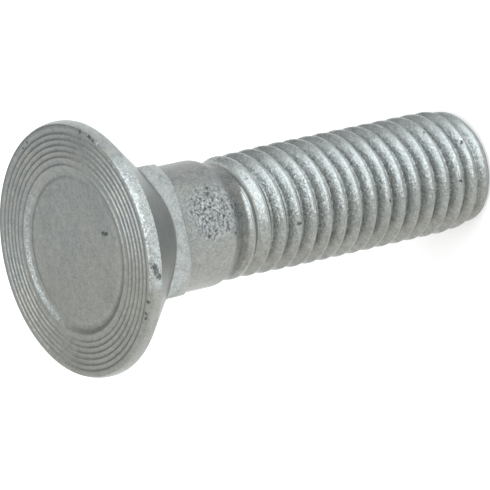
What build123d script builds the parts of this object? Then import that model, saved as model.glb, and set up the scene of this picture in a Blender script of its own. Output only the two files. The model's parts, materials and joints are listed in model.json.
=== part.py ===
"""Countersunk bolt with a square neck, forged in one piece with a rolled M10 thread.

The bolt is shaped with its flat face on Z = 0 and its shank along +Z, so heights along
it are measured from its face. It is then stood on its point, with the head up, because
it would roll if it lay on the rim of its head. All sizes are in millimetres.
"""

from build123d import *
import os
from math import radians, tan

# ---- head ---------------------------------------------------------------------
overall_length = 38.3
head_diameter = 20.0
rim_height = 1.0  # straight band round the edge of the head
rim_chamfer = 0.25
seat_half_angle = 43.5  # degrees between the countersunk seat and the axis

# ---- face, from the edge inwards: a land, rings edge to edge, and another land ------
outer_land_width = 0.3
ring_count = 5
ring_width = 0.455
ring_depth = 0.13
inner_land_width = 0.375

# ---- dished middle of the face, with a bead round its floor -----------------------
dish_depth = 0.18
dish_wall_width = 0.14
bead_inset = 0.65  # from the edge of the dish to the middle of the bead
bead_width = 0.95
bead_top_width = 0.3
bead_height = 0.14

# ---- square neck ----------------------------------------------------------------
neck_width = 10.3
neck_end = 7.15
corner_diameter = 14.1  # across the forged corners
shoulder_diameter = 12.5  # where the corners have drawn in, before they drop to the shank
corner_taper_length = 1.5
shoulder_length = 0.35

# ---- plain shank, and the rod behind it that the thread is rolled on ---------------
shank_diameter = 10.05
shank_end = 12.1
neck_down_length = 1.1
neck_down_rounding = 1.2
blank_diameter = 9.3

# ---- thread, as the form over its crests ------------------------------------------
thread_diameter = 9.9
crest_rise_length = 6.3  # from the bare rod to the first full crest
point_length = 3.3  # the crests curve in over this length
point_end_diameter = 8.8

# ---- sizes that follow ------------------------------------------------------------
head_radius = head_diameter / 2
rings_outer_radius = head_radius - rim_chamfer - outer_land_width
rings_inner_radius = rings_outer_radius - ring_count * ring_width
dish_radius = rings_inner_radius - inner_land_width
bead_radius = dish_radius - bead_inset
shank_radius = shank_diameter / 2
blank_radius = blank_diameter / 2
crest_radius = thread_diameter / 2
seat_end = rim_height + (head_radius - shank_radius) / tan(radians(seat_half_angle))
shoulder_start = neck_end - shoulder_length
corner_end = shoulder_start - corner_taper_length
blank_start = shank_end + neck_down_length
full_crest_start = blank_start + crest_rise_length


def dish_outline():
    """Corners of the dished middle of the face, from its centre to its wall."""
    bead_top = dish_depth - bead_height
    return [
        (0, dish_depth),
        (bead_radius - bead_width / 2, dish_depth),
        (bead_radius - bead_top_width / 2, bead_top),
        (bead_radius + bead_top_width / 2, bead_top),
        (bead_radius + bead_width / 2, dish_depth),
        (dish_radius - dish_wall_width, dish_depth),
        (dish_radius, 0),
    ]


def ring_outline():
    """Corners of the V-shaped rings, which lie edge to edge, from the inmost out."""
    corners = [(rings_inner_radius, 0)]
    for number in reversed(range(ring_count)):
        outer_edge = rings_outer_radius - number * ring_width
        corners += [(outer_edge - ring_width / 2, ring_depth), (outer_edge, 0)]
    return corners


# The square neck: a square bar inside the round form that its corners were forged to.
with BuildPart() as neck:
    with BuildSketch(Plane.XZ):
        with BuildLine():
            Polyline(
                (0, rim_height),
                (corner_diameter / 2, rim_height),
                (corner_diameter / 2, corner_end),
                (shoulder_diameter / 2, shoulder_start),
                (shank_radius, neck_end),
                (0, neck_end),
                close=True,
            )
        make_face()
    revolve(axis=Axis.Z)
    with BuildSketch(Plane.XY.offset(rim_height)):
        Rectangle(neck_width, neck_width)
    extrude(amount=neck_end - rim_height, mode=Mode.INTERSECT)

# Everything that is round, in one outline: the face, the head's side, the shank with
# its rounded step down to the rod, and the crests, which curve in at the point.
with BuildPart() as turned:
    with BuildSketch(Plane.XZ):
        with BuildLine():
            head = Polyline(
                *dish_outline(),
                *ring_outline(),
                (head_radius - rim_chamfer, 0),
                (head_radius, rim_chamfer),
                (head_radius, rim_height),
                (shank_radius, seat_end),
            )
            shank = FilletPolyline(
                head @ 1,
                (shank_radius, shank_end),
                (blank_radius, blank_start),
                (crest_radius, full_crest_start),
                radius=neck_down_rounding,
            )
            crests = Line(shank @ 1, (crest_radius, overall_length - point_length))
            point = TangentArc(
                crests @ 1, (point_end_diameter / 2, overall_length), tangent=crests % 1
            )
            Polyline(point @ 1, (0, overall_length), head @ 0)
        make_face()
    revolve(axis=Axis.Z)
    add(neck.part)

standing = Plane(origin=(0, 0, overall_length), x_dir=(1, 0, 0), z_dir=(0, 0, -1))
with BuildPart(standing) as bolt:
    add(turned.part)

bolt.part.label = "bolt"
os.makedirs("parts", exist_ok=True)
export_step(bolt.part, "parts/bolt.step")
print(bolt.part.bounding_box(), f"{bolt.part.volume:.1f} mm3")
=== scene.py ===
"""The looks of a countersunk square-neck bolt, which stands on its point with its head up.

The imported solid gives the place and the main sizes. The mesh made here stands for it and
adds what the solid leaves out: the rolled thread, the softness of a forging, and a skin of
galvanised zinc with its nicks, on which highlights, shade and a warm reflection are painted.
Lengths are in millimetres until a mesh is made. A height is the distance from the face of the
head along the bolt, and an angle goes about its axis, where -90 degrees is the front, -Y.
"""

import json
import math
from types import SimpleNamespace

import bmesh
import bpy
import numpy as np
from mathutils import Matrix, Vector


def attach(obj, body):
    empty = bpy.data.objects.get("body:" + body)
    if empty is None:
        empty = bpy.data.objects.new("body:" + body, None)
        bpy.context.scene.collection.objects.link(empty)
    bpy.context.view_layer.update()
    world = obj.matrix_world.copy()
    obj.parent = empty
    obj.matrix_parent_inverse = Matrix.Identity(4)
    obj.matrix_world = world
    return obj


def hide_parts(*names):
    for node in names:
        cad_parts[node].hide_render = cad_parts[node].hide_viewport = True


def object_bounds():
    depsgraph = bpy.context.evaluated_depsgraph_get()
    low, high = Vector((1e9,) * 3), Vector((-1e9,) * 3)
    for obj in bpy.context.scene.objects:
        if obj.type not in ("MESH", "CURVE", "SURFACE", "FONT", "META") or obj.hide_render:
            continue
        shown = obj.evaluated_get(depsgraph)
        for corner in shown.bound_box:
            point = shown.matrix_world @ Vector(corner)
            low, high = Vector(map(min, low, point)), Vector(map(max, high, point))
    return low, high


MM = 0.001

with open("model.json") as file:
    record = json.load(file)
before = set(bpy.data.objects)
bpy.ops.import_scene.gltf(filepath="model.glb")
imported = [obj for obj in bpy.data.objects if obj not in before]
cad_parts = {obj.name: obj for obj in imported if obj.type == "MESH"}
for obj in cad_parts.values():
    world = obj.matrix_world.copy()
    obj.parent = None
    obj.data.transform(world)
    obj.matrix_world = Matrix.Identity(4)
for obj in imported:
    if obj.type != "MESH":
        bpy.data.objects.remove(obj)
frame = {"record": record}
cad_low, cad_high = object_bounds()
mounts = {mount["name"]: mount for mount in frame["record"]["mounts"]}

# ---- sizes that the solid gives ---------------------------------------------------
LENGTH = (cad_high.z - cad_low.z) / MM
HEAD_RADIUS = cad_high.x / MM
SHANK_RADIUS = mounts["shank"]["dims"]["r_mm"]
SEAT_START = LENGTH - mounts["countersunk_seat"]["pos_m"][2] / MM

# ---- head: the softnesses say how widely two forms blend where they meet ------------
SEAT_SLOPE = math.tan(math.radians(43.5))
SEAT_SOFTNESS = 0.16
RIM_DROP = 0.2  # how far the rim's rounded front stands in from its full radius
RIM_ROUND_LENGTH = 0.7
RIM_EDGE_DROP = 0.05  # how much further in the sharper edge at the face goes
RIM_EDGE_LENGTH = 0.06
RIM_SOFTNESS = 0.08

# ---- face -------------------------------------------------------------------------
RING_OUTER = 9.45
RING_WIDTH = 0.455
RING_COUNT = 5
RING_DEPTH = 0.088
RING_FLANK = 0.44  # of its width, from a ring's ridge to its valley
RINGS_INNER = RING_OUTER - RING_COUNT * RING_WIDTH
# The middle of the face: the bare field, a trough, the bead and a low land, in this order.
MIDDLE_RADII = (0.0, 5.55, 5.85, 6.15, 6.52, 6.57, 6.62, 6.76, 7.05, 7.14)
MIDDLE_DEPTHS = (0.2, 0.2, 0.27, 0.22, 0.01, 0.0, 0.0, 0.08, 0.08, 0.0)
MIDDLE_SOFTNESS = 0.03

# ---- square neck: how far its forged corners reach at each height -------------------
NECK_HALF_WIDTH = 5.15
NECK_END = 7.16
NECK_HEIGHTS = (0.0, 4.2, 5.2, 5.8, 6.2, 6.75, 6.98, NECK_END)
NECK_CORNERS = (7.16, 7.16, 7.04, 6.64, 6.48, 6.24, 5.80, 5.03)
CORNER_SOFTNESS = 0.1
NECK_SOFTNESS = 0.02

# ---- rod, and the crests that are rolled up on it ------------------------------------
NECK_DOWN_START = 11.75
NECK_DOWN_END = 13.2
ROD_RADIUS = 4.56
CREST_HEIGHTS = (13.75, 15.3, 16.8, 18.3, 20.3)
CREST_RADII = (4.83, 4.88, 4.92, 4.95, 5.0)
FIRST_RIDGE = (13.45, 13.85)  # the rod rises to a half-made crest between these
SECOND_RIDGE = (14.1, 14.9)  # and between these, where it has no such crest
FIRST_RIDGE_ANGLE = -52.0
FIRST_RIDGE_GAIN = (0.1, 0.5)  # in turns on from that angle, the crest grows between these
FIRST_RIDGE_LOSS = (0.93, 1.0)  # and runs out between these
POINT_LENGTH = 3.3
POINT_END_RADIUS = 4.45

# ---- thread: phases are shares of the pitch, 0 in the root and 0.5 on the crest ---------
PITCH = 1.5
ROOT_RADIUS = 4.07
ROOT_AT_FRONT = 16.0  # a root crosses the front at this height
GROOVE_DEEPENING = (13.2, 15.4)  # the root goes from none to its full depth between these
CREST_FLAT = 0.08
ROOT_FLAT = 0.14
ROOT_SOFTNESS = 0.12
CREST_SOFTNESS = 0.3
FOLD = (0.515, 0.016, -0.05)  # phase, width and rise of the line where the crest closed
SEAM = (0.575, 0.022, 0.045)  # and of the burr beside it

# ---- mesh: rows of vertices round the bolt ----------------------------------------------
COLUMNS = 192
CORNER_CROWDING = 0.12  # how much closer the columns stand at the corners of the neck
FACE_SPACINGS = (  # (radius where it starts, spacing of the rows)
    (0.0, 0.6), (4.8, 0.075), (6.6, 0.04), (6.8, 0.075), (RINGS_INNER, RING_WIDTH / 12),
)
SIDE_SPACINGS = (  # (height where it starts, spacing of the rows)
    (0.02, 0.02), (0.08, 0.09), (SEAT_START - 0.1, 0.05), (SEAT_START + 0.15, 0.4),
    (3.6, 0.13), (6.2, 0.07), (7.3, 0.5), (NECK_DOWN_START, 0.11),
)
THREAD_PHASES = (  # closest together where the fold and the seam are
    0.0, 0.07, 0.12, 0.2, 0.28, 0.36, 0.42, 0.47, 0.5,
    0.515, 0.53, 0.55, 0.57, 0.59, 0.62, 0.7, 0.8, 0.92,
)
END_SHARES = (0.97, 0.85, 0.6, 0.3, 0.0)  # rows of the end face, in shares of its radius
WELD_DISTANCE = 2e-7  # metres

# ---- skin: how frosted or dull the zinc is in each place, where highlights and shade are painted on it, and where that is ---
# A pair holds the limits that an amount fades or grows between.
FLAT_FROST = 0.7
FLAT_FADE = (0.02, 0.06)  # off the plane of a flat
FLAT_START = 1.5  # keeps clear of the face, where other places are as far out
# Painted highlight on the rim's front: brighter, cooler zinc.
RIM_HIGHLIGHT = 1.5
RIM_HIGHLIGHT_ANGLE = -84.0
RIM_HIGHLIGHT_HALF_ANGLE = 32.0
RIM_HIGHLIGHT_FADE = (0.7, 1.2)  # in half angles
RIM_HIGHLIGHT_RADIUS = HEAD_RADIUS - 0.3
RIM_HIGHLIGHT_END = SEAT_START + 0.05
# Painted highlight on the bead's far side: brighter, cooler zinc.
BEAD_HIGHLIGHT = 0.75
BEAD_HIGHLIGHT_RADIUS = 6.35
BEAD_HIGHLIGHT_FADE = (0.2, 0.4)  # either side of that radius
BEAD_HIGHLIGHT_SIDE = (2.0, 5.0)  # only towards +Y, on the far side of the face
FACE_END = 0.5  # all of the face has a smaller height
# Painted highlight on the thread's flanks that face up: brighter, cooler zinc.
THREAD_HIGHLIGHT = 0.9
THREAD_HIGHLIGHT_SLOPE = (0.2, 0.5)  # on the flanks that face up, as the normal's Z
THREAD_HIGHLIGHT_DIM = 0.6  # the share of the painted highlight that is lost towards the -X side
THREAD_DIM_ANGLES = (-150, -115)
SPECKLE_HEIGHT = 10.0
SPECKLE_HALF_LENGTH = 2.6
SPECKLE_ANGLE = -84.0
SPECKLE_HALF_ANGLE = 29.0
SPECKLE_FADE = (0.4, 1.2)  # in half sizes
SHANK_SKIN_START = NECK_END - 0.1
# The shank is darker all round, and painted shade darkens its +X side further.
SHANK_DARKENING = 0.35
SHANK_SIDE_SHADE = 1.2
SHANK_SIDE_GAIN = (-78, -38)  # angles
SHANK_SIDE_LOSS = (50, 100)
# Painted shade on the seat, where the head faces down.
SEAT_SHADE = 1.0
SEAT_SHADE_SLOPE = (-0.6, -0.45)  # where the head faces down, as the normal's Z
SEAT_SHADE_RADIUS = SHANK_RADIUS + 0.3
SEAT_SHADE_END = 6.4
# Painted shade on the step, where the shank narrows to the rod.
STEP_SHADE = 1.6
STEP_SHADE_START = (11.7, 12.1)
STEP_SHADE_FADE = (-0.05, 0.15)  # past the end of the step
BARE_STEP_END = 13.9  # the step ends here where the rod has no half-made crest
# Painted shadow at the foot of the neck.
FOOT_SHADOW = 0.8
FOOT_SHADOW_FADE = (0.05, 0.35)  # past the end of the neck
# Dirt with painted shade in the thread's roots.
GROOVE_DIRT_AND_SHADE = 0.9
GROOVE_DIRT_AND_SHADE_RADII = (4.15, 4.5)
GROOVE_DIRT_AND_SHADE_END = LENGTH - 0.5
# Dirt with painted shade in the valleys of the face's rings.
RING_DIRT_AND_SHADE = 0.35
RING_DIRT_AND_SHADE_DEPTHS = (0.04, 0.1)
RING_DIRT_AND_SHADE_RADIUS = RINGS_INNER - 0.1
RING_DIRT_AND_SHADE_SLOPE = 0.3  # keeps off the rim, as the normal's Z
RINGS_END = 0.12  # all of the rings have a smaller height
# The warm hue is also that of a painted warm reflection on the -X side.
COOL_ZINC = (0.30, 0.32, 0.318, 1)
WARM_ZINC_AND_REFLECTION = (0.312, 0.318, 0.296, 1)
CRYSTAL_LEAN = 0.17
RELIEF_HEIGHT = 0.03

# ---- nicks: height, angle, radius there, and size ------------------------------------------
DARK_NICKS = (
    (0.15, -103.0, 10.0, 0.2), (0.35, -105.0, 10.0, 0.32), (0.5, -107.0, 10.0, 0.34),
    (0.75, -109.5, 9.9, 0.34), (0.0, -121.0, 9.7, 0.2), (0.0, -127.0, 9.7, 0.14),
    (0.0, -129.5, 9.8, 0.2), (0.0, -34.0, 9.8, 0.25), (0.0, -37.0, 9.7, 0.18),
    (0.0, -27.0, 9.7, 0.14), (0.0, 18.0, 9.4, 0.18), (0.0, 23.0, 9.3, 0.14),
    (0.2, -79.5, 4.2, 0.2), (0.2, -80.5, 4.45, 0.22), (0.2, -81.5, 4.7, 0.2),
    (10.4, -61.0, 5.0, 0.15), (10.7, -61.5, 5.0, 0.1), (9.3, -104.0, 5.0, 0.17),
    (8.5, -67.5, 5.0, 0.12), (11.85, -106.0, 5.0, 0.18), (14.6, -55.0, 4.7, 0.22),
    (18.3, -111.0, 4.9, 0.22), (27.4, -108.5, 4.95, 0.2), (34.7, -104.5, 4.95, 0.2),
    (32.8, -49.0, 4.95, 0.22), (35.9, -68.0, 4.8, 0.2),
)
# Bright marks: small chips, and along the face's edge a painted highlight.
BRIGHT_CHIPS_AND_GLINTS = (
    (0.0, -40.0, 9.7, 0.2), (0.0, -44.0, 9.5, 0.12), (0.0, -51.0, 9.5, 0.12),
    (0.0, -55.0, 9.5, 0.16), (0.0, -62.0, 9.5, 0.1), (0.0, -67.0, 9.5, 0.12),
    (6.6, -57.5, 6.55, 0.22), (31.7, -106.0, 4.95, 0.2), (19.6, -73.5, 4.9, 0.22),
    (19.8, -103.5, 4.9, 0.2),
)


# ---- the form ------------------------------------------------------------------------
def soft_step(value, start, end):
    """0 before start, 1 after end, and a smooth rise between them."""
    share = np.clip((value - start) / (end - start), 0, 1)
    return share * share * (3 - 2 * share)


def soft_fall(value, start, end):
    """1 before start, 0 after end, and a smooth fall between them."""
    return 1 - soft_step(value, start, end)


def smooth_max(a, b, softness):
    """The larger of two radii, with the valley between them filled to a small round."""
    blend = np.clip(0.5 + 0.5 * (a - b) / softness, 0, 1)
    return b + (a - b) * blend + softness * blend * (1 - blend)


def smooth_min(a, b, softness):
    """The smaller of two radii, with the edge between them eased."""
    return -smooth_max(-a, -b, softness)


def face_depth(radius):
    """Depth of the face below its highest places: the rings, and what lies inside them."""
    ring_phase = (RING_OUTER - radius) / RING_WIDTH
    in_rings = 0 < ring_phase < RING_COUNT
    from_ridge = abs((ring_phase + 0.5) % 1.0 - 0.5)
    rings = RING_DEPTH * soft_step(from_ridge, 0.0, RING_FLANK) if in_rings else 0.0
    nearby = (radius - MIDDLE_SOFTNESS, radius, radius + MIDDLE_SOFTNESS)
    return rings + np.interp(nearby, MIDDLE_RADII, MIDDLE_DEPTHS).mean()


def rim_radius(height):
    """Radius of the rim's rounded front, which ends in a soft edge at the face."""
    share = np.clip(height / RIM_ROUND_LENGTH, 0, 1)
    edge = RIM_EDGE_DROP * soft_fall(height, 0.0, RIM_EDGE_LENGTH)
    return HEAD_RADIUS - RIM_DROP * (1 - share) ** 2 - edge


def first_ridge(angle):
    """How much there is of the half-made crest before the thread, at an angle."""
    turn = (np.degrees(angle) - FIRST_RIDGE_ANGLE) / 360 % 1.0
    return soft_step(turn, *FIRST_RIDGE_GAIN) * soft_fall(turn, *FIRST_RIDGE_LOSS)


def crest_envelope(height, angle):
    """Radius over the crests: it grows from the bare rod and curves in at the point."""
    early = soft_step(height, *FIRST_RIDGE)
    late = soft_step(height, *SECOND_RIDGE)
    risen = late + (early - late) * first_ridge(angle)
    full = np.interp(height, CREST_HEIGHTS, CREST_RADII)
    grown = ROD_RADIUS + (full - ROD_RADIUS) * risen
    into_point = np.clip(height - (LENGTH - POINT_LENGTH), 0, None)
    drop = CREST_RADII[-1] - POINT_END_RADIUS
    rounding = (POINT_LENGTH**2 + drop**2) / (2 * drop)
    return grown - (rounding - np.sqrt(rounding**2 - into_point**2))


def fine_line(phase, line):
    """Rise of a fine line along the crest, such as its fold."""
    middle, width, rise = line
    return rise * np.exp(-(((phase - middle) / width) ** 2))


def thread_radius(height, angle):
    """Radius of the rolled thread: a right-hand 60-degree form with soft, folded crests."""
    turn = (angle + np.pi / 2) / (2 * np.pi)
    phase = ((height - ROOT_AT_FRONT) / PITCH + turn) % 1.0
    nearest_root = height - ((phase + 0.5) % 1.0 - 0.5) * PITCH
    depth = soft_step(nearest_root, *GROOVE_DEEPENING)
    flank = 0.5 - CREST_FLAT / 2 - ROOT_FLAT / 2
    rise = 1 - (np.abs(phase - 0.5) - CREST_FLAT / 2) / flank
    rise = smooth_min(smooth_max(rise, 0.0, ROOT_SOFTNESS), 1.0, CREST_SOFTNESS)
    crest = crest_envelope(height, angle)
    radius = crest - (1 - rise) * depth * (crest - ROOT_RADIUS)
    radius = radius + depth * (fine_line(phase, SEAM) + fine_line(phase, FOLD))
    return np.minimum(radius, crest)


def side_radius(height, angle):
    """Radius of the bolt's side at a height and an angle."""
    seat = HEAD_RADIUS - (height - SEAT_START) * SEAT_SLOPE
    flat = NECK_HALF_WIDTH / np.maximum(np.abs(np.cos(angle)), np.abs(np.sin(angle)))
    corner = np.interp(height, NECK_HEIGHTS, NECK_CORNERS)
    neck = smooth_max(smooth_min(flat, corner, CORNER_SOFTNESS), SHANK_RADIUS, NECK_SOFTNESS)
    necked_down = soft_step(height, NECK_DOWN_START, NECK_DOWN_END)
    shank = SHANK_RADIUS - (SHANK_RADIUS - ROD_RADIUS) * necked_down
    rod = np.where(height < NECK_DOWN_END, shank, thread_radius(height, angle))
    body = np.where(height < NECK_END, neck, rod)
    return smooth_min(smooth_max(seat, body, SEAT_SOFTNESS), rim_radius(height), RIM_SOFTNESS)


# ---- the mesh ------------------------------------------------------------------------
def column_angles():
    """Angles of the mesh's columns, closer together at the corners of the neck."""
    even = np.arange(COLUMNS) * 2 * np.pi / COLUMNS
    return even + CORNER_CROWDING * np.sin(4 * even)


def stations(spacings, end):
    """Where the rows are, up to but not including end. A spacing holds until the next starts."""
    stops = [start for start, spacing in spacings[1:]] + [end]
    places = []
    for (start, spacing), stop in zip(spacings, stops):
        count = max(round((stop - start) / spacing), 1)
        places += list(np.linspace(start, stop, count, endpoint=False))
    return places


def ring(vertices, radius, height, angles):
    """Adds one ring of vertices and returns their numbers."""
    first = sum(len(part) for part in vertices)
    across = np.broadcast_to(radius, angles.shape)
    along = np.broadcast_to(height, angles.shape)
    points = (across * np.cos(angles), across * np.sin(angles), LENGTH - along)
    vertices.append(np.column_stack(points) * MM)
    return np.arange(first, first + len(angles))


def strip(faces, row, following):
    """Quads between two rings of vertices."""
    faces.append(np.column_stack((row, following, np.roll(following, -1), np.roll(row, -1))))


def add_thread(vertices, faces, angles, row):
    """The thread, from the ring that it starts at to the ring at the end of the bolt.

    Its rows follow the helix, so that the crests stay sharp, and are held between the
    thread's two ends. One turn on, a row meets the row that is one pitch nearer the head.
    """
    turns = math.ceil((LENGTH - NECK_DOWN_END) / PITCH) + 3
    lead = (angles - angles[0]) / (2 * np.pi) * PITCH
    base = ROOT_AT_FRONT - PITCH * (angles[0] + np.pi / 2) / (2 * np.pi)
    base -= PITCH * math.ceil((base - NECK_DOWN_END) / PITCH)
    rows = []
    for turn in range(turns):
        for phase in THREAD_PHASES:
            height = np.clip(base + (turn + phase) * PITCH - lead, NECK_DOWN_END, LENGTH)
            rows.append(ring(vertices, side_radius(height, angles), height, angles))
    strip(faces, row, rows[0])
    grid = np.array(rows)
    one_turn_back = np.maximum(np.arange(len(rows)) - len(THREAD_PHASES), 0)
    grid = np.column_stack((grid, grid[one_turn_back, 0]))
    corners = (grid[:-1, :-1], grid[1:, :-1], grid[1:, 1:], grid[:-1, 1:])
    faces.append(np.stack(corners, axis=-1).reshape(-1, 4))
    return rows[-1]


def make_form():
    """Vertices and quads of the whole bolt, from the middle of its face to its other end."""
    angles = column_angles()
    vertices, faces = [], []
    face_radii = stations(FACE_SPACINGS, RING_OUTER)
    face_radii += [RING_OUTER, HEAD_RADIUS - RIM_DROP - RIM_EDGE_DROP]
    side_heights = stations(SIDE_SPACINGS, NECK_DOWN_END)
    outline = [(radius, face_depth(radius)) for radius in face_radii]
    outline += [(side_radius(height, angles), height) for height in side_heights]
    row = ring(vertices, *outline[0], angles)
    for radius, height in outline[1:]:
        following = ring(vertices, radius, height, angles)
        strip(faces, row, following)
        row = following
    row = add_thread(vertices, faces, angles, row)
    end_radius = side_radius(LENGTH, angles)
    for share in END_SHARES:
        following = ring(vertices, end_radius * share, LENGTH, angles)
        strip(faces, row, following)
        row = following
    return np.concatenate(vertices), np.concatenate(faces)


def make_bolt():
    """The bolt as one closed mesh object, which knows where its skin is frosted, speckled or
    dull, and where highlights and shade are painted on it.
    """
    vertices, faces = make_form()
    mesh = bpy.data.meshes.new("forged_bolt")
    mesh.from_pydata(vertices.tolist(), [], faces.tolist())
    form = bmesh.new()
    form.from_mesh(mesh)
    bmesh.ops.remove_doubles(form, verts=form.verts, dist=WELD_DISTANCE)
    bmesh.ops.recalc_face_normals(form, faces=form.faces)
    form.to_mesh(mesh)
    form.free()
    mesh.shade_smooth()
    place = read_surface(mesh)
    skins = {"frost_and_highlight": frosting_and_highlights(place), "speckle": speckling(place), "darkening_and_painted_shade": painting_shade_and_darkening(place)}
    for name, amounts in skins.items():
        skin = mesh.attributes.new(name, "FLOAT", "POINT")
        skin.data.foreach_set("value", amounts)
    piece = bpy.data.objects.new("forged_bolt", mesh)
    bpy.context.scene.collection.objects.link(piece)
    return piece


# ---- where the skin is frosted or dull, and where highlights and shade are painted -------
def read_surface(mesh):
    """Where each vertex is, and how far up its surface faces, from -1 to 1."""
    count = len(mesh.vertices)
    place = np.empty(count * 3)
    normal = np.empty(count * 3)
    mesh.vertices.foreach_get("co", place)
    mesh.vertex_normals.foreach_get("vector", normal)
    x, y, z = place.reshape(count, 3).T / MM
    return SimpleNamespace(
        x=x, y=y, height=LENGTH - z, radius=np.hypot(x, y),
        angle=np.degrees(np.arctan2(y, x)), up=normal.reshape(count, 3)[:, 2],
    )


def between(value, low, high):
    """Whether a value is inside two limits."""
    return (value > low) & (value < high)


def frosting_and_highlights(place):
    """How frosted the zinc is on the flats, and where highlights are painted on it: on the rim's
    front, the bead's far side and the thread's flanks that face up.
    """
    from_flat = np.abs(np.maximum(np.abs(place.x), np.abs(place.y)) - NECK_HALF_WIDTH)
    on_flat = soft_fall(from_flat, *FLAT_FADE) * between(place.height, FLAT_START, NECK_END)
    # Painted highlight on the rim's front.
    from_front = np.abs(place.angle - RIM_HIGHLIGHT_ANGLE) / RIM_HIGHLIGHT_HALF_ANGLE
    on_rim = soft_fall(from_front, *RIM_HIGHLIGHT_FADE)
    on_rim *= (place.radius > RIM_HIGHLIGHT_RADIUS) & (place.height < RIM_HIGHLIGHT_END)
    # Painted highlight on the bead's far side.
    from_bead = np.abs(place.radius - BEAD_HIGHLIGHT_RADIUS)
    on_bead = soft_fall(from_bead, *BEAD_HIGHLIGHT_FADE) * soft_step(place.y, *BEAD_HIGHLIGHT_SIDE)
    on_bead *= place.height < FACE_END
    # Painted highlight on the thread's flanks that face up, weaker towards the -X side.
    on_thread = soft_step(place.up, *THREAD_HIGHLIGHT_SLOPE) * (place.height > NECK_DOWN_END)
    on_thread *= 1 - THREAD_HIGHLIGHT_DIM * soft_fall(place.angle, *THREAD_DIM_ANGLES)
    head_highlights = RIM_HIGHLIGHT * on_rim, BEAD_HIGHLIGHT * on_bead
    return np.maximum.reduce((FLAT_FROST * on_flat, *head_highlights, THREAD_HIGHLIGHT * on_thread))


def speckling(place):
    """How speckled the zinc is: on the front of the shank."""
    across = (place.angle - SPECKLE_ANGLE) / SPECKLE_HALF_ANGLE
    along = (place.height - SPECKLE_HEIGHT) / SPECKLE_HALF_LENGTH
    return soft_fall(np.hypot(across, along), *SPECKLE_FADE) * (place.height > SHANK_SKIN_START)


def painting_shade_and_darkening(place):
    """Painted shade on the seat, the shank's +X side, the step and the neck's foot, a shank
    darker all round, and dirt with painted shade in the thread's roots and the rings.
    """
    # Painted shade on the seat, where the head faces down.
    seat_shade = soft_fall(place.up, *SEAT_SHADE_SLOPE)
    seat_shade *= (place.radius > SEAT_SHADE_RADIUS) & (place.height < SEAT_SHADE_END)
    # Painted shade on the shank's +X side; the whole shank is darker too.
    side_shade = soft_step(place.angle, *SHANK_SIDE_GAIN) * soft_fall(place.angle, *SHANK_SIDE_LOSS)
    shank_darkening = np.maximum(SHANK_SIDE_SHADE * side_shade, SHANK_DARKENING)
    shank_darkening *= between(place.height, SHANK_SKIN_START, NECK_DOWN_END)
    # Painted shade on the step, where the shank narrows to the rod.
    ridge = first_ridge(np.radians(place.angle))
    step_end = BARE_STEP_END - (BARE_STEP_END - FIRST_RIDGE[0]) * ridge
    step_shade = soft_step(place.height, *STEP_SHADE_START)
    step_shade *= soft_fall(place.height - step_end, *STEP_SHADE_FADE)
    # Painted shadow at the foot of the neck.
    from_neck = place.height - NECK_END
    foot_shadow = soft_fall(from_neck, *FOOT_SHADOW_FADE) * (from_neck > 0)
    # Dirt with painted shade in the thread's roots.
    groove_dirt_and_shade = soft_fall(place.radius, *GROOVE_DIRT_AND_SHADE_RADII)
    groove_dirt_and_shade *= between(place.height, NECK_DOWN_END, GROOVE_DIRT_AND_SHADE_END)
    # Dirt with painted shade in the valleys of the face's rings.
    ring_dirt_and_shade = soft_step(place.height, *RING_DIRT_AND_SHADE_DEPTHS) * (place.height < RINGS_END)
    ring_dirt_and_shade *= (place.radius > RING_DIRT_AND_SHADE_RADIUS) & (place.up > RING_DIRT_AND_SHADE_SLOPE)
    hollows = FOOT_SHADOW * foot_shadow, GROOVE_DIRT_AND_SHADE * groove_dirt_and_shade, RING_DIRT_AND_SHADE * ring_dirt_and_shade
    return np.maximum.reduce((SEAT_SHADE * seat_shade, shank_darkening, STEP_SHADE * step_shade, *hollows))


# ---- shading nodes ---------------------------------------------------------------------
MIX_FIRST, MIX_SECOND, MIX_RESULT = 6, 7, 2  # a colour Mix node's sockets, which share names


def add_node(tree, kind, inputs, output=0, **settings):
    """Adds a node and returns one of its outputs. Its inputs are values or other outputs."""
    node = tree.nodes.new(kind)
    for name, value in settings.items():
        setattr(node, name, value)
    for socket, value in inputs.items():
        if isinstance(value, bpy.types.NodeSocket):
            tree.links.new(value, node.inputs[socket])
        else:
            node.inputs[socket].default_value = value
    return node.outputs[output]


def calculate(tree, operation, *values, clamp=False):
    """A Math node."""
    inputs = dict(enumerate(values))
    return add_node(tree, "ShaderNodeMath", inputs, operation=operation, use_clamp=clamp)


def add_up(tree, start, *shares):
    """A number plus shares of others, given as (value, gain)."""
    total = start
    for value, gain in shares:
        total = calculate(tree, "MULTIPLY_ADD", value, gain, total)
    return total


def vector(tree, operation, inputs, output=0):
    """A Vector Math node."""
    return add_node(tree, "ShaderNodeVectorMath", inputs, output, operation=operation)


def spread(tree, value, start, end, low=0.0, high=1.0):
    """A value that goes smoothly from low to high while another goes from start to end."""
    inputs = {"Value": value, "From Min": start, "From Max": end, "To Min": low, "To Max": high}
    return add_node(tree, "ShaderNodeMapRange", inputs, interpolation_type="SMOOTHSTEP")


def mix(tree, factor, first, second):
    """A colour between two others."""
    inputs = {"Factor": factor, MIX_FIRST: first, MIX_SECOND: second}
    return add_node(tree, "ShaderNodeMix", inputs, MIX_RESULT, data_type="RGBA")


def attribute(tree, name):
    """An amount that the mesh has at each vertex."""
    return add_node(tree, "ShaderNodeAttribute", {}, "Fac", attribute_name=name)


def noise(tree, place, scale, detail=2.0, roughness=0.5):
    """Noise about 0, from roughly -0.5 to 0.5."""
    inputs = {"Vector": place, "Scale": scale, "Detail": detail, "Roughness": roughness}
    return calculate(tree, "SUBTRACT", add_node(tree, "ShaderNodeTexNoise", inputs), 0.5)


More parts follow.
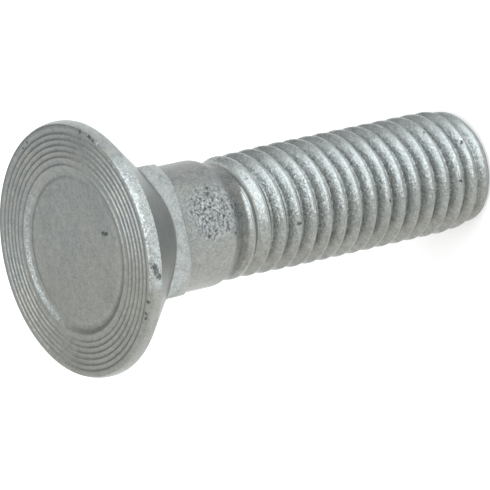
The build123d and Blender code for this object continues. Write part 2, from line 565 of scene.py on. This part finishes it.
def any_ray(tree, *kinds):
    """1 for a ray of any of these kinds, and 0 for the others."""
    path = tree.nodes.new("ShaderNodeLightPath").outputs
    seen = path[kinds[0]]
    for kind in kinds[1:]:
        seen = calculate(tree, "MAXIMUM", seen, path[kind])
    return seen


def about_zero(tree, colour):
    """A colour from 0 to 1 as a vector from -0.5 to 0.5."""
    return vector(tree, "SUBTRACT", {0: colour, 1: (0.5, 0.5, 0.5)})


def wander(tree, place, scale, reach):
    """A place moved about by noise, so that what is drawn there comes out ragged."""
    colour = add_node(tree, "ShaderNodeTexNoise", {"Vector": place, "Scale": scale}, "Color")
    drift = about_zero(tree, colour)
    return vector(tree, "MULTIPLY_ADD", {0: drift, 1: (reach, reach, reach), 2: place})


def nicks(tree, place, marks):
    """1 in the middle of each mark and 0 away from them all."""
    deepest = 0.0
    for height, angle, radius, size in marks:
        turn = math.radians(angle)
        middle = (radius * math.cos(turn), radius * math.sin(turn), LENGTH - height)
        apart = vector(tree, "DISTANCE", {0: place, 1: middle}, "Value")
        mark = spread(tree, apart, size, size / 2)
        deepest = calculate(tree, "MAXIMUM", mark, deepest)
    return deepest


# ---- the zinc --------------------------------------------------------------------------
def zinc_patterns(tree):
    """The patterns that the zinc's colour and relief share, in millimetres on the bolt."""
    place = add_node(tree, "ShaderNodeTexCoord", {}, "Object")
    place = vector(tree, "SCALE", {0: place, "Scale": 1 / MM})
    mottle = noise(tree, place, scale=1.6, detail=3.0, roughness=0.6)

    frost_and_highlight_amount = attribute(tree, "frost_and_highlight")
    frost_and_highlight_edge = add_up(tree, frost_and_highlight_amount, (mottle, 1.6))
    frost_and_highlight = calculate(tree, "MULTIPLY", spread(tree, frost_and_highlight_edge, 0.35, 0.65), frost_and_highlight_amount)

    crystal_place = wander(tree, place, scale=4.0, reach=0.2)
    inputs = {"Vector": crystal_place, "Scale": 10.0}
    crystal = add_node(tree, "ShaderNodeTexVoronoi", inputs, "Color")
    crystal_red = add_node(tree, "ShaderNodeSeparateColor", {0: crystal})

    speckle = attribute(tree, "speckle")
    speck = noise(tree, place, scale=4.0, detail=3.0, roughness=0.65)
    ragged = wander(tree, place, scale=6.0, reach=0.5)
    return SimpleNamespace(
        place=place,
        clouds=noise(tree, place, scale=0.4, detail=3.0),
        mottle=mottle,
        grain=noise(tree, place, scale=6.0, roughness=0.7),
        frost_and_highlight=frost_and_highlight,
        crystal=crystal,
        sparkle=calculate(tree, "SUBTRACT", crystal_red, 0.5),
        speckle=speckle,
        speck=calculate(tree, "MULTIPLY", speckle, speck),
        darkening_and_painted_shade=attribute(tree, "darkening_and_painted_shade"),
        dark_nicks=nicks(tree, ragged, DARK_NICKS),
        # Bright chips, and a painted highlight along the face's edge.
        bright_chips_and_glints=nicks(tree, ragged, BRIGHT_CHIPS_AND_GLINTS),
    )


def zinc_colour(tree, pattern):
    """Grey, with a random warm tint and a painted warm reflection towards the -X side, lighter
    and cooler with frost and painted highlights, and darker with painted shade, dirt and nicks.
    """
    # Painted glints of the crystals, where the zinc is frosted and where highlights are painted.
    glint = calculate(tree, "MULTIPLY_ADD", pattern.sparkle, 0.5, 0.25)
    tone = add_up(
        tree, 1.0, (pattern.clouds, 0.25), (pattern.mottle, 0.4), (pattern.grain, 0.85),
        (pattern.speck, 4.2), (pattern.speckle, -0.06), (pattern.darkening_and_painted_shade, -0.32),
        (pattern.frost_and_highlight, glint), (pattern.bright_chips_and_glints, 0.7),
    )
    darkening = spread(tree, pattern.dark_nicks, 0.0, 1.0, low=1.0, high=0.35)
    tone = calculate(tree, "MULTIPLY", tone, darkening)

    across = add_node(tree, "ShaderNodeSeparateXYZ", {0: pattern.place})
    # A painted warm reflection towards the -X side, mixed with a random warm tint.
    warm_reflection = spread(tree, across, 2.0, -5.0, low=-0.1, high=0.9)
    warm_tint_and_reflection = add_up(tree, warm_reflection, (pattern.clouds, 2.0), (pattern.mottle, 2.0))
    # Cooler where highlights are painted and where the zinc is speckled.
    cool_highlights_and_speckle = calculate(tree, "ADD", pattern.frost_and_highlight, pattern.speckle)
    warm_tint_and_reflection = calculate(tree, "SUBTRACT", spread(tree, warm_tint_and_reflection, -0.5, 0.7), cool_highlights_and_speckle, clamp=True)
    hue = mix(tree, warm_tint_and_reflection, COOL_ZINC, WARM_ZINC_AND_REFLECTION)
    return vector(tree, "SCALE", {0: hue, "Scale": tone})


def zinc_normal(tree, pattern):
    """Fine relief, with each crystal of the frost leaning its own way."""
    crystals = calculate(tree, "MULTIPLY", pattern.sparkle, pattern.frost_and_highlight)
    height = add_up(
        tree, 0.0, (pattern.grain, 0.7), (pattern.mottle, 0.8), (pattern.speck, 1.6),
        (crystals, 0.7), (pattern.dark_nicks, -3.0), (pattern.bright_chips_and_glints, 1.5),
    )
    inputs = {"Height": height, "Strength": 1.0, "Distance": RELIEF_HEIGHT * MM}
    bump = add_node(tree, "ShaderNodeBump", inputs)
    share = calculate(tree, "MULTIPLY", pattern.frost_and_highlight, CRYSTAL_LEAN)
    lean = vector(tree, "SCALE", {0: about_zero(tree, pattern.crystal), "Scale": share})
    return vector(tree, "NORMALIZE", {0: vector(tree, "ADD", {0: bump, 1: lean})})


def zinc():
    """Galvanised zinc: dull and slightly mottled, with frosted crystals, nicks and pits, and
    painted highlights, glints, shade and a warm reflection.
    """
    material = bpy.data.materials.new("galvanised_zinc")
    material.use_nodes = True
    tree = material.node_tree
    shader = tree.nodes["Principled BSDF"]
    shader.inputs["Metallic"].default_value = 1.0
    pattern = zinc_patterns(tree)
    roughness = add_up(tree, 0.33, (pattern.frost_and_highlight, -0.03), (pattern.mottle, 0.12))
    tree.links.new(zinc_colour(tree, pattern), shader.inputs["Base Color"])
    tree.links.new(roughness, shader.inputs["Roughness"])
    tree.links.new(zinc_normal(tree, pattern), shader.inputs["Normal"])
    return material


# ---- camera ----------------------------------------------------------------------------
VIEW_AIM = (-2.44, 0.01, 22.33)
VIEW_DISTANCE = 363.7
VIEW_ELEVATION = math.radians(36.01)
VIEW_ROLL = math.radians(-102.7)
VIEW_LENS = 340.8


def add_camera():
    """The camera. It is rolled, because in the photograph the bolt lies on its side."""
    data = bpy.data.cameras.new("camera")
    data.lens = VIEW_LENS
    data.clip_start = 0.01
    data.clip_end = 10
    camera = bpy.data.objects.new("camera", data)
    rise = Matrix.Rotation(math.pi / 2 - VIEW_ELEVATION, 4, "X")
    turn = rise @ Matrix.Rotation(VIEW_ROLL, 4, "Z")
    back = turn @ Vector((0, 0, 1))
    place = (Vector(VIEW_AIM) + back * VIEW_DISTANCE) * MM
    camera.matrix_world = Matrix.Translation(place) @ turn
    bpy.context.scene.collection.objects.link(camera)
    bpy.context.scene.camera = camera


# ---- studio, in metres -------------------------------------------------------------------
FLOOR_HALF_SIZE = 3.0
FLOOR_COLOUR = (0.8, 0.8, 0.8, 1)
FLOOR_ROUGHNESS = 0.9
FLOOR_GLOW = 0.25
DARK_SIDE = (0.64, 0.77, 0.0)  # the direction in which the room is darkest
ROOM_COLOURS = (  # from the side away from that one, at 0, to that one, at 1
    (0.1, (0.98, 0.96, 0.90, 1)),
    (0.5, (1.0, 1.0, 0.99, 1)),
    (0.8, (0.95, 0.96, 0.95, 1)),
    (0.97, (0.40, 0.41, 0.41, 1)),
)


def add_lamp(name, azimuth, elevation, distance, size, power, colour):
    """A round soft box. Azimuth 0 is in front of the bolt, -Y, and 90 is on its +X side."""
    data = bpy.data.lights.new(name, "AREA")
    data.shape = "DISK"
    data.size = size
    data.energy = power
    data.color = colour
    lamp = bpy.data.objects.new(name, data)
    turn, rise = math.radians(azimuth), math.radians(elevation)
    level = math.cos(rise)
    direction = Vector((math.sin(turn) * level, -math.cos(turn) * level, math.sin(rise)))
    lamp.location = Vector((0, 0, LENGTH / 2 * MM)) + direction * distance
    lamp.rotation_euler = direction.to_track_quat("Z", "Y").to_euler()
    bpy.context.scene.collection.objects.link(lamp)


def white_paper():
    """The floor's material. What the camera and the metal see of it is brightened."""
    material = bpy.data.materials.new("white_paper")
    material.use_nodes = True
    tree = material.node_tree
    shader = tree.nodes["Principled BSDF"]
    shader.inputs["Base Color"].default_value = FLOOR_COLOUR
    shader.inputs["Roughness"].default_value = FLOOR_ROUGHNESS
    shader.inputs["Specular IOR Level"].default_value = 0.0
    shader.inputs["Emission Color"].default_value = (1, 1, 1, 1)
    seen = any_ray(tree, "Is Camera Ray", "Is Glossy Ray", "Is Transmission Ray")
    glow = calculate(tree, "MULTIPLY", seen, FLOOR_GLOW)
    tree.links.new(glow, shader.inputs["Emission Strength"])
    return material


def add_floor():
    """A white floor."""
    mesh = bpy.data.meshes.new("floor")
    half = FLOOR_HALF_SIZE
    corners = [(-half, -half, 0), (half, -half, 0), (half, half, 0), (-half, half, 0)]
    mesh.from_pydata(corners, [], [(0, 1, 2, 3)])
    mesh.materials.append(white_paper())
    floor = bpy.data.objects.new("floor", mesh)
    bpy.context.scene.collection.objects.link(floor)


def add_world():
    """A pale room with one darker side, and white to the camera."""
    world = bpy.data.worlds.new("studio")
    world.use_nodes = True
    tree = world.node_tree
    direction = add_node(tree, "ShaderNodeTexCoord", {}, "Generated")
    toward_dark = vector(tree, "DOT_PRODUCT", {0: direction, 1: DARK_SIDE}, "Value")
    share = calculate(tree, "MULTIPLY_ADD", toward_dark, 0.5, 0.5)
    room = add_node(tree, "ShaderNodeValToRGB", {0: share})
    ramp = room.node.color_ramp
    ramp.interpolation = "EASE"
    while len(ramp.elements) < len(ROOM_COLOURS):
        ramp.elements.new(0.5)
    for element, (position, colour) in zip(ramp.elements, ROOM_COLOURS):
        element.position = position
        element.color = colour
    seen = any_ray(tree, "Is Camera Ray", "Is Transmission Ray")
    seen_colour = mix(tree, seen, room, (1, 1, 1, 1))
    tree.links.new(seen_colour, tree.nodes["Background"].inputs["Color"])
    bpy.context.scene.world = world


bolt = make_bolt()
bolt.data.materials.append(zinc())
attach(bolt, "root")
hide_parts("bolt")

add_camera()
add_lamp(
    "soft_box", azimuth=32, elevation=45, distance=0.6, size=1.0, power=4.0,
    colour=(0.94, 1.0, 1.05),
)
add_floor()
add_world()
bpy.context.scene.view_settings.view_transform = "Standard"
